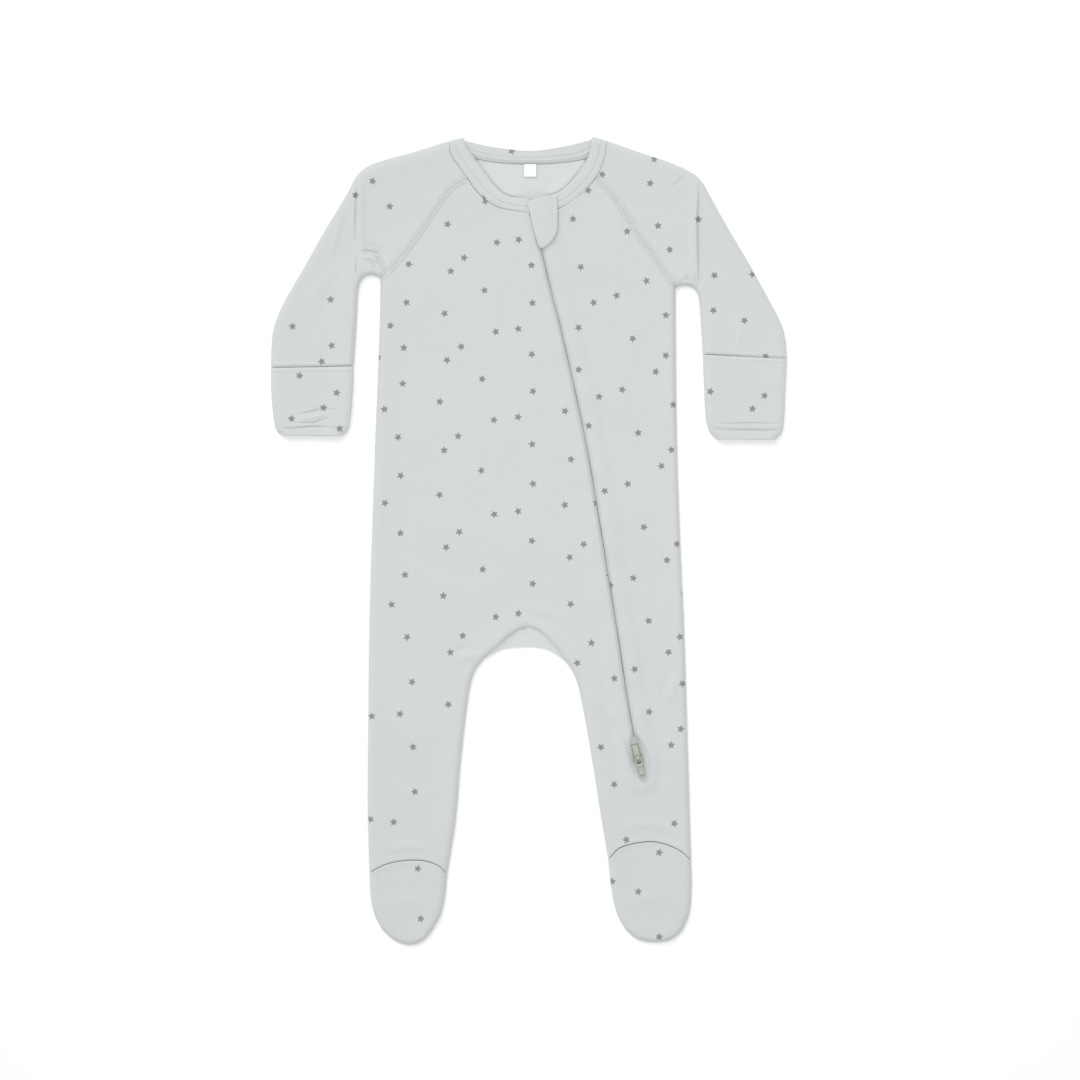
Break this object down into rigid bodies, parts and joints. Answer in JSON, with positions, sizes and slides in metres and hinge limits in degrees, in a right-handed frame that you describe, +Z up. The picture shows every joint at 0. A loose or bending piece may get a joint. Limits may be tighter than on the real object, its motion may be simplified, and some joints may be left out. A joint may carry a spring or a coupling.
{
  "type": "footed baby sleepsuit",
  "caption": "Baby sleepsuit laid flat, with raglan sleeves, mitten cuffs, closed feet, bound neck and a diagonal zip from the neck down to one leg.",
  "frame": {"origin": "middle of the suit's box in plan, on the surface it lies on", "axes": "+Y from the feet to the neck, +X to the wearer's left, +Z up out of the front"},
  "size_m": [0.371, 0.5813, 0.0095],
  "materials": {
    "jersey": "fine pale grey-blue cotton jersey with a small dark grey star print, matt",
    "jersey_inside": "the same jersey, paler on its inner face",
    "zip_tape": "woven polyester tape with a fine nylon coil, grey-green, satin",
    "zip_metal": "tumbled nickel plate, dull",
    "label": "white satin ribbon, blank"
  },
  "bodies": {
    "garment": {"front": "jersey", "back": "jersey_inside", "sleeve_right": "jersey", "sleeve_left": "jersey", "cuff_right": "jersey", "cuff_left": "jersey", "foot_right": "jersey", "foot_left": "jersey", "sole_right": "jersey", "sole_left": "jersey", "neck_binding": "jersey", "zip_guard": "jersey", "zip_tape_right": "zip_tape", "zip_tape_left": "zip_tape", "zip_slider": "zip_metal", "neck_label": "label"},
    "zip_pull": {"zip_pull": "zip_metal"}
  },
  "joints": [
    {"name": "pull_hinge", "type": "hinge", "parent": "garment", "child": "zip_pull", "pos_m": [0.07817, -0.15668, 0.0075], "axis": [-0.9701, -0.2427, 0], "range_deg": [0, 170]}
  ]
}
